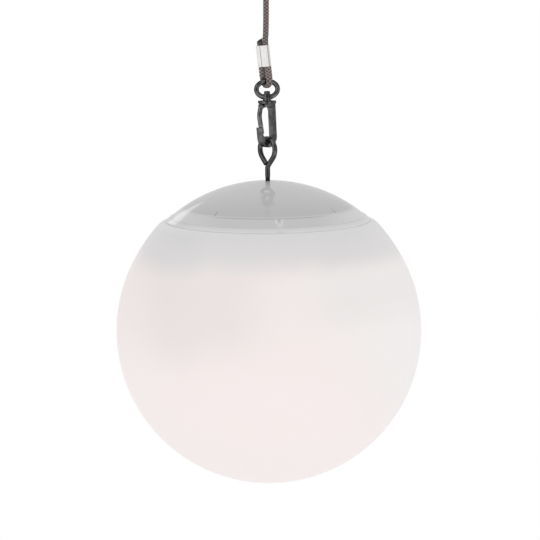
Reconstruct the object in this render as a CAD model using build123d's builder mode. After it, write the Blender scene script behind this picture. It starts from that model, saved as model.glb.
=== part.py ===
from build123d import *
import math
import os

os.makedirs("parts", exist_ok=True)

# Solar hanging light, in millimetres, with +Z up and the origin where the cord's upper loop hangs

# Clearances
flat_gap = 0.05
turn_gap = 0.1
fixed_gap = 0.03
rim_gap = 0.4
neck_gap = 0.4
bayonet_gap = 0.1
eye_gap = 0.55
gate_gap = 0.3
locate_gap = 0.2
door_gap = 0.25
crimp_gap = 0.12

# Cord and its crimped sleeves
cord_diameter = 4.0
ferrule_length = 13.8
ferrule_wall = 0.35
ferrule_round = 2.4
crimp_width = 0.8
crimp_depth = 0.2
ferrule_lead = 3.8

# Swivel ring
ring_drop = 115.9
ring_turn = -30.0
ring_width = 17.4
ring_height = 13.95
ring_wire = 3.2
ring_side_radius = 4.3
collar_diameter = 5.4
collar_height = 3.8
collar_rise = 0.6
shoulder_diameter = 4.9
rivet_diameter = 2.5
rivet_head_diameter = 3.9
rivet_head_height = 1.9
rivet_depth = 2.8

# Snap hook
flange_diameter = 11.8
flange_thickness = 1.8
hook_height = 30.25
hook_depth = 5.0
bend_inner = 4.05
bend_offset = -0.3
bend_thickness = 3.35
bar_width = 2.85
bar_lean = 1.2
arch_drop = 3.6
arch_round = 2.4
tip_drop = 16.95
tip_lean = 0.75
tip_wall = 0.45
tip_cheek = 1.2
hook_round = 0.5
flange_bevel = 0.5
pin_offset = -3.6
pin_drop = 2.9
pin_diameter = 0.9
lug_radius = 1.05
slot_reach = 1.75

# Gate and its spring
gate_diameter = 3.1
gate_knuckle = 1.0
gate_root_out = 2.4
gate_root_drop = 1.0
gate_root_bend = 1.8
gate_elbow_out = 3.75
gate_elbow_drop = 6.4
gate_elbow_bend = 12.0
gate_end_out = 1.3
gate_length = 18.45
spring_width = 1.4
spring_wire = 0.4

# Eye bolt and its fixings in the dome
eye_wire = 3.3
eye_inner_width = 10.2
eye_side_radius = 9.0
eye_taper = 40.0
eye_bend = 3.0
eye_standoff = 27.6
eye_thread = 2.9
thread_rise = 2.6
seal_diameter = 9.0
seal_thickness = 1.2
washer_thickness = 0.8
nut_across = 5.5
nut_thickness = 2.4
shank_overrun = 1.0

# Globe
globe_diameter = 200.0
globe_wall = 2.2
rim_bore = 133.8
rim_round = 0.4
brow_radius = 12.0
brow_turn = 6.8
shoulder_turn = 20.0
shoulder_flatness = 1.2
ledge_depth = 4.1
neck_bore = 127.0
neck_wall = 2.0
neck_length = 9.7
tab_drop = 6.0
tab_height = 2.0
tab_reach = 1.7
tab_span = 24.0

# Cap dome
dome_setback = 1.1
dome_wall = 2.2
lip_width = 2.4
lip_proud = 0.4
lip_slope = 0.6
lip_round = 0.6
apex_pad_radius = 6.0
apex_pad_depth = 0.9
light_wall = 1.6
boss_count = 4
boss_turn = 52.0
boss_inset = 2.3
boss_width = 5.0
pilot_depth = 4.4
gusset_reach = 8.0
gusset_drop = 6.0
gusset_thickness = 1.6
gasket_thickness = 1.5
gasket_width = 1.5

# Light module under the dome
base_plate = 2.2
skirt_wall = 2.2
lug_height = 2.1
lug_span = 22.0
pocket_diameter = 5.6
rib_count = 8
rib_thickness = 1.6
rib_height = 5.0
box_radius = 52.0
box_wall = 2.0
box_depth = 20.6
locate_height = 3.0
locate_wall = 1.6
post_inset = 8.0
post_diameter = 6.0
cover_plate = 2.0

# Screws
screw_diameter = 2.2
screw_head_diameter = 4.2
screw_head_height = 1.6
cover_screw_length = 8.0
board_screw_length = 4.0

# Solar panel
panel_side = 70.0
panel_thickness = 2.6
panel_bevel = 0.6
pad_side = 56.0
pad_thickness = 1.2
lead_diameter = 1.2
lead_spacing = 4.0

# Circuit board, lamp and switch
board_width = 54.0
board_depth = 42.0
board_thickness = 1.6
board_shift = -9.0
board_inset = 4.0
standoff_height = 5.0
standoff_diameter = 5.0
standoff_rows = 2
led_side = 5.0
led_thickness = 1.4
lens_radius = 6.3
lens_flange_radius = 8.0
lens_flange = 1.2
lens_drop = 4.6
switch_width = 8.6
switch_depth = 4.4
switch_height = 3.4
switch_travel = 3.0
knob_width = 3.0
knob_depth = 2.4
knob_proud = 1.4
knob_bevel = 0.4
switch_place = (-14.0, -20.0)

# Battery and its compartment
battery_diameter = 14.2
battery_length = 49.5
battery_inset = 24.0
battery_lift = 0.6
button_diameter = 5.2
button_height = 1.2
contact_thickness = 0.5
contact_width = 10.0
contact_height = 14.0
tray_wall = 1.6
tray_height = 11.0
tray_gap = 0.8
door_plate = 1.6
door_lap = 2.0
door_ear = 7.0

# Route of the cord: tail end, down through the lower sleeve, round the ring, up to the upper loop and back
cord_route = [
    (-2.60, 4.55, -88.88),
    (-1.07, 3.02, -110.47),
    (1.13, 4.38, -117.03),
    (0.37, 1.70, -119.87),
    (-1.04, -2.22, -119.49),
    (-1.73, -4.25, -116.21),
    (0.02, -1.12, -110.10),
    (-1.34, 0.24, -91.00),
    (-1.06, -0.55, -84.00),
    (-1.62, -1.41, -58.00),
    (-1.62, -1.41, -31.00),
    (-6.49, -5.64, -3.90),
    (-2.87, -2.49, 2.00),
    (2.87, 2.49, 2.00),
    (6.49, 5.64, -3.90),
    (1.62, 1.41, -31.00),
    (1.62, 1.41, -60.50),
]
run_share = 0.45


def height_on(ball_radius, radius):
    """Height above the centre of a ball at a distance from its axis."""
    return math.sqrt(ball_radius**2 - radius**2)


def level(height):
    """Flat plane at a height above the centre of the globe."""
    return Plane.XY.offset(globe_z + height)


def upright(origin_z, turn):
    """Upright plane through the main axis, its x direction turned about +Z."""
    turned = math.radians(turn)
    across = (math.cos(turned), math.sin(turned), 0)
    return Plane(origin=(0, 0, origin_z), x_dir=across, z_dir=(across[1], -across[0], 0))


# Heights of the links that hang from the cord
ring_top_z = -ring_drop
ring_mid_z = ring_top_z - (ring_height - ring_wire) / 2
flange_z = ring_top_z - ring_height + ring_wire / 2 - collar_rise
bend_z = -hook_height + bend_thickness
eye_z = flange_z + bend_z + eye_wire / 2 + eye_gap

# Radii and heights of the lamp, measured from the centre of the globe
globe_radius = globe_diameter / 2
dome_radius = globe_radius - dome_setback
globe_z = eye_z - eye_standoff - dome_radius
rim_radius = rim_bore / 2
neck_radius = neck_bore / 2
cap_radius = rim_radius - rim_gap
lip_radius = cap_radius - lip_width
rim_z = height_on(globe_radius, rim_radius)
ledge_z = rim_z - ledge_depth
seat_z = ledge_z + flat_gap + gasket_thickness
plate_z = seat_z - base_plate
tab_z = ledge_z - tab_drop - tab_height
lug_z = tab_z - bayonet_gap - lug_height
box_z = plate_z - box_depth
cover_z = box_z - cover_plate
post_radius = box_radius - post_inset
battery_shift = box_radius - battery_inset
lug_turn = boss_turn + 180 / boss_count
lug_radius_out = neck_radius - neck_gap
skirt_radius = neck_radius - tab_reach - neck_gap
boss_radius = skirt_radius - boss_inset
light_wall_radius = boss_radius - boss_width / 2
wall_inner = light_wall_radius - light_wall
apex_z = dome_radius - dome_wall - apex_pad_depth
washer_z = apex_z - seal_thickness - washer_thickness
nut_z = washer_z - nut_thickness
pilot_radius = screw_diameter / 2 + fixed_gap
lamp_side = upright(globe_z, 0)
hook_side = upright(flange_z, 0)

# Hanging cord: straight runs joined by arcs as large as the runs allow
route = [Vector(*point) for point in cord_route]
cord_radii = []
for before, corner, after in zip(route, route[1:], route[2:]):
    half_turn = math.radians((corner - before).get_angle(after - corner)) / 2
    shorter = min((corner - before).length, (after - corner).length)
    cord_radii.append(run_share * shorter / math.tan(half_turn))

with BuildPart() as hanging_cord:
    with BuildLine() as cord_path:
        FilletPolyline(*route, radius=cord_radii)
    with BuildSketch(Plane(origin=cord_path.line @ 0, z_dir=cord_path.line % 0)):
        Circle(cord_diameter / 2)
    sweep(path=cord_path.line)

cord_section = math.pi * cord_diameter**2 / 4
cord_length = cord_path.wires()[0].length
print("cord radii", [round(radius, 1) for radius in cord_radii])
print("cord length", round(cord_length, 1), "volume", round(hanging_cord.part.volume, 1))
print("section times length", round(cord_section * cord_length, 1))


# Crimped sleeves: each is set on the two strands that pass through it
def sleeve_plane(low_point, high_point, beside):
    """Plane at a sleeve's lower end, across both strands, from points on one strand and beside it."""
    along = (high_point - low_point).normalized()
    middle = (low_point + beside) / 2
    return Plane(origin=middle + along * ferrule_lead, x_dir=beside - low_point, z_dir=along)


lower_sleeve = sleeve_plane(route[1], route[0], route[6])
upper_sleeve = sleeve_plane(route[9], route[10], Vector(route[16].X, route[16].Y, route[9].Z))
lane_spacing = (route[6] - route[1]).length
sleeve_bore = cord_diameter + 2 * crimp_gap
sleeve_width = lane_spacing + sleeve_bore + 2 * ferrule_wall
sleeve_depth = sleeve_bore + 2 * ferrule_wall

with BuildPart() as lower_ferrule:
    with BuildSketch(lower_sleeve):
        RectangleRounded(sleeve_width, sleeve_depth, ferrule_round)
        SlotCenterToCenter(lane_spacing, sleeve_bore, mode=Mode.SUBTRACT)
        for side in (-1, 1):
            with Locations((0, side * sleeve_depth / 2)), GridLocations(lane_spacing, 0, 2, 1):
                Rectangle(crimp_width, 2 * crimp_depth, mode=Mode.SUBTRACT)
    extrude(amount=ferrule_length)

with BuildPart() as upper_ferrule:
    with BuildSketch(upper_sleeve):
        RectangleRounded(sleeve_width, sleeve_depth, ferrule_round)
        SlotCenterToCenter(lane_spacing, sleeve_bore, mode=Mode.SUBTRACT)
        for side in (-1, 1):
            with Locations((0, side * sleeve_depth / 2)), GridLocations(lane_spacing, 0, 2, 1):
                Rectangle(crimp_width, 2 * crimp_depth, mode=Mode.SUBTRACT)
    extrude(amount=ferrule_length)

# Swivel ring: an oval of four arcs with a collar for the rivet
ring_half_width = (ring_width - ring_wire) / 2
ring_half_height = (ring_height - ring_wire) / 2
side_offset = ring_half_width - ring_side_radius
flatness = ring_half_height - ring_side_radius
crown_offset = (side_offset**2 - flatness**2) / (2 * flatness)
crown_radius = ring_half_height + crown_offset
crown_angle = math.degrees(math.atan2(side_offset, crown_offset))
ring_side = upright(ring_mid_z, ring_turn)

with BuildPart() as swivel_ring:
    with BuildLine(ring_side) as ring_path:
        CenterArc((0, -crown_offset), crown_radius, 90 - crown_angle, 2 * crown_angle)
        CenterArc((-side_offset, 0), ring_side_radius, 90 + crown_angle, 180 - 2 * crown_angle)
        CenterArc((0, crown_offset), crown_radius, 270 - crown_angle, 2 * crown_angle)
        CenterArc((side_offset, 0), ring_side_radius, crown_angle - 90, 180 - 2 * crown_angle)
    with BuildSketch(Plane(origin=(0, 0, ring_top_z), z_dir=ring_side.x_dir)):
        Circle(ring_wire / 2)
    sweep(path=ring_path.wires()[0])
    with BuildSketch(Plane.XY.offset(flange_z + collar_rise)):
        Circle(collar_diameter / 2)
    extrude(amount=collar_height)
    with BuildSketch(Plane.XY.offset(flange_z)):
        Circle(rivet_diameter / 2 + turn_gap)
    extrude(amount=collar_rise + collar_height + ring_wire, mode=Mode.SUBTRACT)

# Rivet that carries the hook under the collar
rivet_seat_z = flange_z + collar_rise + collar_height + turn_gap
with BuildPart() as swivel_rivet:
    with BuildSketch(Plane.XY.offset(flange_z - rivet_depth)):
        Circle(rivet_diameter / 2)
    extrude(amount=rivet_seat_z - flange_z + rivet_depth)
    with BuildSketch(Plane.XY.offset(rivet_seat_z)):
        Circle(rivet_head_diameter / 2)
    extrude(amount=rivet_head_height)
    fillet(swivel_rivet.edges().sort_by(Axis.Z)[-1], rivet_head_height / 3)

# Hook body: flange, head, back bar, bend and channelled tip
bend_outer = bend_inner + bar_width
inner_mid_z = bend_z + bend_inner
outer_mid_z = -hook_height + bend_outer
bar_inner_x = bend_offset + bend_inner
bar_outer_x = bend_offset + bend_outer
tip_inner_x = bend_offset - bend_inner
tip_outer_x = bend_offset - bend_outer
gate_end_x = pin_offset - gate_end_out
gate_end_z = -pin_drop - gate_length
gate_root = (pin_offset - gate_root_out, -pin_drop - gate_root_drop)
gate_elbow = (pin_offset - gate_elbow_out, -pin_drop - gate_elbow_drop)
channel_width = gate_diameter + 2 * gate_gap
channel_floor = gate_end_z - 2 * gate_gap
channel_top_x = tip_outer_x - tip_lean + tip_wall
channel_floor_x = gate_end_x - channel_width / 2
cheek_top_x = tip_outer_x - tip_lean + tip_cheek
cheek_floor_x = tip_outer_x + tip_cheek
arch_x = bar_inner_x - bar_lean * (1 - arch_drop / hook_height) - arch_round
arch_z = -arch_drop - arch_round

with BuildPart() as hook_body:
    with BuildSketch(hook_side):
        with BuildLine():
            CenterArc((bend_offset, outer_mid_z), bend_outer, 180, 180)
            CenterArc((bend_offset, inner_mid_z), bend_inner, 180, 180)
            Polyline(
                (tip_outer_x, outer_mid_z),
                (tip_outer_x - tip_lean, -tip_drop),
                (tip_inner_x, -tip_drop),
                (tip_inner_x, inner_mid_z),
            )
            Polyline(
                (bar_outer_x, outer_mid_z),
                (bar_outer_x - bar_lean, -flange_thickness / 2),
                (bar_inner_x - bar_lean, -flange_thickness / 2),
                (bar_inner_x, inner_mid_z),
            )
        make_face()
        with BuildLine():
            arch = CenterArc((arch_x, arch_z), arch_round, 0, 90)
            Polyline(
                arch @ 1,
                (pin_offset - lug_radius, -arch_drop),
                (pin_offset - lug_radius, -flange_thickness / 2),
                (bar_outer_x - 2 * bar_lean, -flange_thickness / 2),
                arch @ 0,
            )
        make_face()
        with Locations((pin_offset, -pin_drop)):
            Circle(lug_radius)
    extrude(amount=hook_depth / 2, both=True)
    long_edges = hook_body.faces().filter_by(Axis.Y).edges().filter_by_position(
        Axis.Z, flange_z - hook_height, flange_z - arch_drop - 2 * arch_round
    )
    fillet(long_edges, hook_round)
    with BuildSketch(hook_side):
        Polygon(
            (channel_top_x, -tip_drop + gate_gap),
            (channel_floor_x, channel_floor),
            (bend_offset, channel_floor),
            (bend_offset, -tip_drop + gate_gap),
            align=None,
        )
    extrude(amount=channel_width / 2, both=True, mode=Mode.SUBTRACT)
    with BuildSketch(hook_side):
        Polygon(
            (cheek_top_x, -tip_drop + gate_gap),
            (cheek_floor_x, channel_floor),
            (tip_inner_x, channel_floor - tip_cheek),
            (bend_offset, -tip_drop + gate_gap),
            align=None,
        )
    extrude(amount=hook_depth / 2, both=True, mode=Mode.SUBTRACT)
    with BuildSketch(hook_side):
        Polygon(
            (pin_offset - 2 * lug_radius, -flange_thickness),
            (pin_offset + slot_reach, -flange_thickness),
            (pin_offset + slot_reach, -pin_drop - 2 * lug_radius),
            (pin_offset - 2 * lug_radius, -pin_drop - 2 * lug_radius),
            align=None,
        )
    extrude(amount=channel_width / 2, both=True, mode=Mode.SUBTRACT)
    with BuildSketch(hook_side):
        with Locations((pin_offset, -pin_drop)):
            Circle(pin_diameter / 2 + fixed_gap)
    extrude(amount=hook_depth, both=True, mode=Mode.SUBTRACT)
    with BuildSketch(Plane.XY.offset(flange_z - flange_thickness)):
        Circle(flange_diameter / 2 - flange_bevel)
    with BuildSketch(Plane.XY.offset(flange_z - flange_thickness + flange_bevel)):
        Circle(flange_diameter / 2)
    loft()
    with BuildSketch(Plane.XY.offset(flange_z - flange_thickness + flange_bevel)):
        Circle(flange_diameter / 2)
    extrude(amount=flange_thickness - flange_bevel)
    with BuildSketch(Plane.XY.offset(flange_z)):
        Circle(shoulder_diameter / 2)
    extrude(amount=collar_rise - turn_gap)
    with BuildSketch(Plane.XY.offset(flange_z - rivet_depth)):
        Circle(rivet_diameter / 2 + fixed_gap)
    extrude(amount=rivet_depth + collar_rise, mode=Mode.SUBTRACT)

# Gate pin, pressed across the head
with BuildPart() as gate_pin:
    with BuildSketch(hook_side):
        with Locations((pin_offset, -pin_drop)):
            Circle(pin_diameter / 2)
    extrude(amount=hook_depth / 2, both=True)

# Gate: a bent round bar with a knuckle on the pin, hollowed for the spring
with BuildPart() as hook_gate:
    with BuildLine(hook_side) as gate_path:
        FilletPolyline(
            (pin_offset, -pin_drop),
            gate_root,
            gate_elbow,
            (gate_end_x, gate_end_z),
            radius=[gate_root_bend, gate_elbow_bend],
        )
    with BuildSketch(Plane(origin=gate_path.line @ 0, z_dir=gate_path.line % 0)):
        Circle(gate_diameter / 2)
    sweep(path=gate_path.line)
    fillet(hook_gate.edges().filter_by(GeomType.CIRCLE).sort_by(Axis.Z)[0], gate_diameter / 3)
    with BuildSketch(Plane.XY.offset(flange_z - flange_thickness - flat_gap)):
        with Locations((pin_offset, 0)):
            Rectangle(4 * gate_diameter, 2 * gate_diameter)
    extrude(amount=gate_diameter, mode=Mode.SUBTRACT)
    with BuildSketch(hook_side):
        with Locations((pin_offset, -pin_drop)):
            Circle(gate_knuckle)
    extrude(amount=gate_diameter / 2 - turn_gap, both=True)
    with BuildSketch(hook_side):
        with Locations((pin_offset, -pin_drop)):
            Circle(pin_diameter / 2 + turn_gap)
    extrude(amount=gate_diameter, both=True, mode=Mode.SUBTRACT)
    with BuildSketch(hook_side):
        with Locations((pin_offset, -pin_drop)):
            Circle(gate_diameter / 2 + gate_gap)
    extrude(amount=spring_width / 2 + turn_gap, both=True, mode=Mode.SUBTRACT)

# Gate spring: a coil round the pin with a leg against the head
spring_inner = pin_diameter / 2 + turn_gap
with BuildPart() as gate_spring:
    with BuildSketch(hook_side):
        with Locations((pin_offset, -pin_drop)):
            Circle(spring_inner + spring_wire)
            Circle(spring_inner, mode=Mode.SUBTRACT)
    extrude(amount=spring_width / 2, both=True)
    with BuildSketch(hook_side):
        with Locations((pin_offset + spring_inner, -pin_drop + spring_inner)):
            Rectangle(slot_reach - spring_inner, spring_wire, align=(Align.MIN, Align.MAX))
    extrude(amount=spring_wire / 2, both=True)

# Eye bolt: a wire loop that tapers into its shank
eye_radius = (eye_inner_width + eye_wire) / 2
eye_mid_z = eye_z - eye_radius
taper = math.radians(eye_taper)
side_shift = eye_side_radius - eye_radius
shank_z = globe_z + nut_z - shank_overrun
leg_y = eye_side_radius * math.cos(taper) - side_shift
leg_z = eye_mid_z - eye_side_radius * math.sin(taper)
fork_z = leg_z - leg_y / math.tan(taper)
end_reach = (eye_wire / 2 * (1 + math.cos(2 * taper)) + turn_gap) / math.sin(2 * taper)
eye_end = (end_reach * math.sin(taper), fork_z + end_reach * math.cos(taper))

with BuildPart() as eye_bolt:
    with BuildLine(Plane.YZ) as eye_path:
        FilletPolyline((0, shank_z), (0, fork_z), (-leg_y, leg_z), radius=eye_bend)
        CenterArc((side_shift, eye_mid_z), eye_side_radius, 180 + eye_taper, -eye_taper)
        CenterArc((0, eye_mid_z), eye_radius, 180, -180)
        CenterArc((-side_shift, eye_mid_z), eye_side_radius, 0, -eye_taper)
        Line((leg_y, leg_z), eye_end)
    with BuildSketch(Plane.XY.offset(shank_z)):
        Circle(eye_wire / 2)
    sweep(path=eye_path.wires()[0])
    with BuildSketch(Plane.XY.offset(shank_z)):
        Circle(eye_wire)
        Circle(eye_thread / 2, mode=Mode.SUBTRACT)
    extrude(amount=globe_z + dome_radius + thread_rise - shank_z, mode=Mode.SUBTRACT)

# Fixings of the eye bolt inside the dome
with BuildPart() as seal_washer:
    with BuildSketch(level(apex_z - seal_thickness)):
        Circle(seal_diameter / 2)
        Circle(eye_thread / 2 + turn_gap, mode=Mode.SUBTRACT)
    extrude(amount=seal_thickness)

with BuildPart() as eye_washer:
    with BuildSketch(level(washer_z)):
        Circle(seal_diameter / 2)
        Circle(eye_thread / 2 + turn_gap, mode=Mode.SUBTRACT)
    extrude(amount=washer_thickness)

with BuildPart() as eye_nut:
    with BuildSketch(level(nut_z)):
        RegularPolygon(nut_across / 2, 6, major_radius=False)
        Circle(eye_thread / 2 + fixed_gap, mode=Mode.SUBTRACT)
    extrude(amount=nut_thickness)

# Globe: a frosted ball with a fuller shoulder, a ledge for the seal and a neck with bayonet tabs
shelf_z = ledge_z - globe_wall
inner_radius = globe_radius - globe_wall
rim_angle = math.degrees(math.asin(rim_z / globe_radius))
shelf_angle = math.degrees(math.asin(shelf_z / inner_radius))
shoulder_angle = rim_angle - shoulder_turn
brow_angle = rim_angle - brow_turn
shoulder_radius = globe_radius * shoulder_flatness
shoulder_centre = Vector(globe_radius - shoulder_radius, 0).rotate(Axis.Z, shoulder_angle)
brow_centre = shoulder_centre + Vector(shoulder_radius - brow_radius, 0).rotate(Axis.Z, brow_angle)
brow_end = math.degrees(math.acos((rim_radius - brow_centre.X) / brow_radius))

with BuildPart() as globe:
    with BuildSketch(lamp_side):
        with BuildLine():
            skin = CenterArc((0, 0), globe_radius, -90, 90 + shoulder_angle)
            CenterArc(shoulder_centre, shoulder_radius, shoulder_angle, brow_angle - shoulder_angle)
            brow = CenterArc(brow_centre, brow_radius, brow_angle, brow_end - brow_angle)
            lining = CenterArc((0, 0), inner_radius, -90, 90 + shelf_angle)
            Polyline(
                brow @ 1,
                (rim_radius, ledge_z),
                (neck_radius, ledge_z),
                (neck_radius, ledge_z - neck_length),
                (neck_radius + neck_wall, ledge_z - neck_length),
                (neck_radius + neck_wall, shelf_z),
                lining @ 1,
            )
            Line(skin @ 0, lining @ 0)
        make_face()
    revolve(axis=Axis.Z)
    fillet(globe.edges().filter_by(GeomType.CIRCLE).sort_by(Axis.Z)[-1], rim_round)
    with BuildSketch(level(tab_z)):
        for turn in range(boss_count):
            start = lug_turn + turn * 360 / boss_count - tab_span / 2
            with BuildLine():
                near = CenterArc((0, 0), neck_radius - tab_reach, start, tab_span)
                far = CenterArc((0, 0), neck_radius + neck_wall / 2, start, tab_span)
                Line(near @ 0, far @ 0)
                Line(near @ 1, far @ 1)
            make_face()
    extrude(amount=tab_height)

# Cap dome: a glossy shell with a raised lip, an inner round wall, screw bosses and gussets
seat_inner = math.sqrt((dome_radius - dome_wall) ** 2 - seat_z**2)
lip_crest = dome_radius + lip_proud
lip_angle = math.degrees(math.acos(lip_radius / lip_crest))
edge_angle = math.degrees(math.acos(cap_radius / lip_crest))
crown_angle = math.degrees(math.acos((lip_radius - lip_slope) / dome_radius))
seat_angle = math.degrees(math.acos(seat_inner / (dome_radius - dome_wall)))
gusset_low = height_on(dome_radius, light_wall_radius) - gusset_drop
gusset_high = height_on(dome_radius, wall_inner - gusset_reach)

with BuildPart() as cap_dome:
    with BuildSketch(level(seat_z)):
        Circle(light_wall_radius)
        with PolarLocations(boss_radius, boss_count, boss_turn):
            Circle(boss_width / 2)
        with PolarLocations(boss_radius, boss_count, boss_turn):
            Rectangle(boss_radius - wall_inner, boss_width, align=(Align.MAX, Align.CENTER))
        Circle(wall_inner, mode=Mode.SUBTRACT)
    extrude(amount=dome_radius - seat_z)
    for turn in range(boss_count):
        with BuildSketch(upright(globe_z, lug_turn + turn * 360 / boss_count)):
            Polygon(
                (wall_inner + light_wall / 2, gusset_low),
                (wall_inner + light_wall / 2, gusset_high),
                (wall_inner - gusset_reach, gusset_high),
                align=None,
            )
        extrude(amount=gusset_thickness / 2, both=True)
    with Locations((0, 0, globe_z)):
        Sphere(dome_radius - dome_wall / 2, mode=Mode.INTERSECT)
    with BuildSketch(lamp_side):
        with BuildLine():
            crown = CenterArc((0, 0), dome_radius, crown_angle, 90 - crown_angle)
            lip = CenterArc((0, 0), lip_crest, edge_angle, lip_angle - edge_angle)
            ceiling = CenterArc((0, 0), dome_radius - dome_wall, seat_angle, 90 - seat_angle)
            Line(crown @ 0, lip @ 1)
            Polyline(lip @ 0, (cap_radius, seat_z), ceiling @ 0)
            Line(crown @ 1, ceiling @ 1)
        make_face()
    revolve(axis=Axis.Z)
    round_edges = cap_dome.edges().filter_by(GeomType.CIRCLE)
    lip_level = globe_z + height_on(lip_crest, cap_radius)
    lip_edges = round_edges.filter_by_position(Axis.Z, lip_level - flat_gap, lip_level + flat_gap)
    fillet(lip_edges.sort_by(SortBy.RADIUS)[-1], lip_round)
    with BuildSketch(level(apex_z)):
        Circle(apex_pad_radius)
    extrude(amount=apex_pad_depth + dome_wall / 2)
    with BuildSketch(level(apex_z)):
        Circle(eye_thread / 2 + turn_gap)
    extrude(amount=dome_radius - apex_z, mode=Mode.SUBTRACT)
    with BuildSketch(level(seat_z)):
        with PolarLocations(boss_radius, boss_count, boss_turn):
            Circle(pilot_radius)
    extrude(amount=pilot_depth, mode=Mode.SUBTRACT)

# Seal between the cap and the ledge of the globe
with BuildPart() as neck_gasket:
    with BuildSketch(level(seat_z - gasket_thickness)):
        Circle(cap_radius - fixed_gap)
        Circle(cap_radius - gasket_width, mode=Mode.SUBTRACT)
    extrude(amount=gasket_thickness)

# Base of the light module: plate, bayonet skirt with lugs, ribs and electronics box
lead_place = (-board_width / 4, board_shift - board_depth / 4)
post_turns = (0, 180, 270)
rib_radius = (box_radius + skirt_radius - box_wall) / 2

with BuildPart() as module_base:
    with BuildSketch(level(plate_z)):
        Circle(lug_radius_out)
    extrude(amount=base_plate)
    with BuildSketch(level(seat_z)):
        Circle(wall_inner - locate_gap)
        Circle(wall_inner - locate_gap - locate_wall, mode=Mode.SUBTRACT)
    extrude(amount=locate_height)
    with BuildSketch(level(lug_z)):
        Circle(skirt_radius)
        Circle(skirt_radius - skirt_wall, mode=Mode.SUBTRACT)
    extrude(amount=plate_z - lug_z)
    with BuildSketch(level(box_z)):
        Circle(box_radius)
        Circle(box_radius - box_wall, mode=Mode.SUBTRACT)
    extrude(amount=box_depth)
    with BuildSketch(level(plate_z - rib_height)):
        with PolarLocations(rib_radius, rib_count, boss_turn + 180 / rib_count):
            Rectangle(skirt_radius - box_radius, rib_thickness)
    extrude(amount=rib_height)
    with BuildSketch(level(lug_z)):
        for turn in range(boss_count):
            start = lug_turn + turn * 360 / boss_count - lug_span / 2
            with BuildLine():
                near = CenterArc((0, 0), skirt_radius - skirt_wall / 2, start, lug_span)
                far = CenterArc((0, 0), lug_radius_out, start, lug_span)
                Line(near @ 0, far @ 0)
                Line(near @ 1, far @ 1)
            make_face()
    extrude(amount=lug_height)
    with BuildSketch(level(box_z)):
        for turn in post_turns:
            with PolarLocations(post_radius, 1, turn):
                Circle(post_diameter / 2)
    extrude(amount=box_depth)
    with BuildSketch(level(box_z)):
        for turn in post_turns:
            with PolarLocations(post_radius, 1, turn):
                Circle(pilot_radius)
    extrude(amount=cover_screw_length, mode=Mode.SUBTRACT)
    with BuildSketch(level(lug_z)):
        with PolarLocations(boss_radius, boss_count, boss_turn):
            Circle(pocket_diameter / 2)
    extrude(amount=plate_z - lug_z, mode=Mode.SUBTRACT)
    with BuildSketch(level(plate_z)):
        with PolarLocations(boss_radius, boss_count, boss_turn):
            Circle(screw_diameter / 2 + turn_gap)
        with Locations(lead_place):
            with GridLocations(lead_spacing, 0, 2, 1):
                Circle(lead_diameter / 2 + turn_gap)
    extrude(amount=base_plate, mode=Mode.SUBTRACT)

# Screws from the base into the bosses of the dome
with BuildPart() as cap_screws:
    with BuildSketch(level(plate_z - screw_head_height)):
        with PolarLocations(boss_radius, boss_count, boss_turn):
            Circle(screw_head_diameter / 2)
    extrude(amount=screw_head_height)
    with BuildSketch(level(plate_z)):
        with PolarLocations(boss_radius, boss_count, boss_turn):
            Circle(screw_diameter / 2)
    extrude(amount=base_plate + pilot_depth - locate_gap)

# Solar panel on its foam pad
with BuildPart() as panel_pad:
    with BuildSketch(level(seat_z)):
        Rectangle(pad_side, pad_side)
        with Locations(lead_place):
            with GridLocations(lead_spacing, 0, 2, 1):
                Circle(lead_diameter / 2 + turn_gap, mode=Mode.SUBTRACT)
    extrude(amount=pad_thickness)

panel_z = seat_z + pad_thickness
with BuildPart() as solar_panel:
    with BuildSketch(level(panel_z)):
        Rectangle(panel_side, panel_side)
    extrude(amount=panel_thickness)
    chamfer(solar_panel.faces().sort_by(Axis.Z)[-1].edges(), panel_bevel)

# Cover of the electronics box, with standoffs, battery tray and openings
tray_length = battery_length + 2 * (tray_gap + contact_thickness + button_height)
tray_depth = battery_diameter + 2 * tray_gap
door_post_x = tray_length / 2 + tray_wall + door_ear / 2
board_top = box_z + standoff_height + board_thickness
standoff_spacing = (board_width - 2 * board_inset, board_depth - 2 * board_inset)
lens_bore = lens_radius + locate_gap

with BuildPart() as lower_cover:
    with BuildSketch(level(cover_z)):
        Circle(box_radius)
    extrude(amount=cover_plate)
    with BuildSketch(level(box_z)):
        Circle(box_radius - box_wall - locate_gap)
        Circle(box_radius - box_wall - locate_gap - locate_wall, mode=Mode.SUBTRACT)
    extrude(amount=locate_height)
    with BuildSketch(level(box_z)):
        with Locations((0, battery_shift)):
            Rectangle(tray_length + 2 * tray_wall, tray_depth + 2 * tray_wall)
            Rectangle(tray_length, tray_depth, mode=Mode.SUBTRACT)
    extrude(amount=tray_height)
    with BuildSketch(level(box_z)):
        with Locations((0, board_shift)):
            with GridLocations(*standoff_spacing, standoff_rows, standoff_rows):
                Circle(standoff_diameter / 2)
        with Locations((door_post_x, battery_shift)):
            Circle(standoff_diameter / 2)
    extrude(amount=standoff_height)
    with BuildSketch(level(box_z)):
        with Locations((0, board_shift)):
            with GridLocations(*standoff_spacing, standoff_rows, standoff_rows):
                Circle(pilot_radius)
    extrude(amount=standoff_height, mode=Mode.SUBTRACT)
    with BuildSketch(level(cover_z)):
        with Locations((0, battery_shift)):
            Rectangle(tray_length, tray_depth)
        Circle(lens_bore)
        with Locations(switch_place):
            Rectangle(knob_width + switch_travel + 2 * locate_gap, knob_depth + 2 * locate_gap)
        for turn in post_turns:
            with PolarLocations(post_radius, 1, turn):
                Circle(screw_diameter / 2 + turn_gap)
    extrude(amount=cover_plate, mode=Mode.SUBTRACT)
    with BuildSketch(level(cover_z)):
        with Locations((door_post_x, battery_shift)):
            Circle(pilot_radius)
    extrude(amount=cover_plate + standoff_height - locate_gap, mode=Mode.SUBTRACT)

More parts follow.
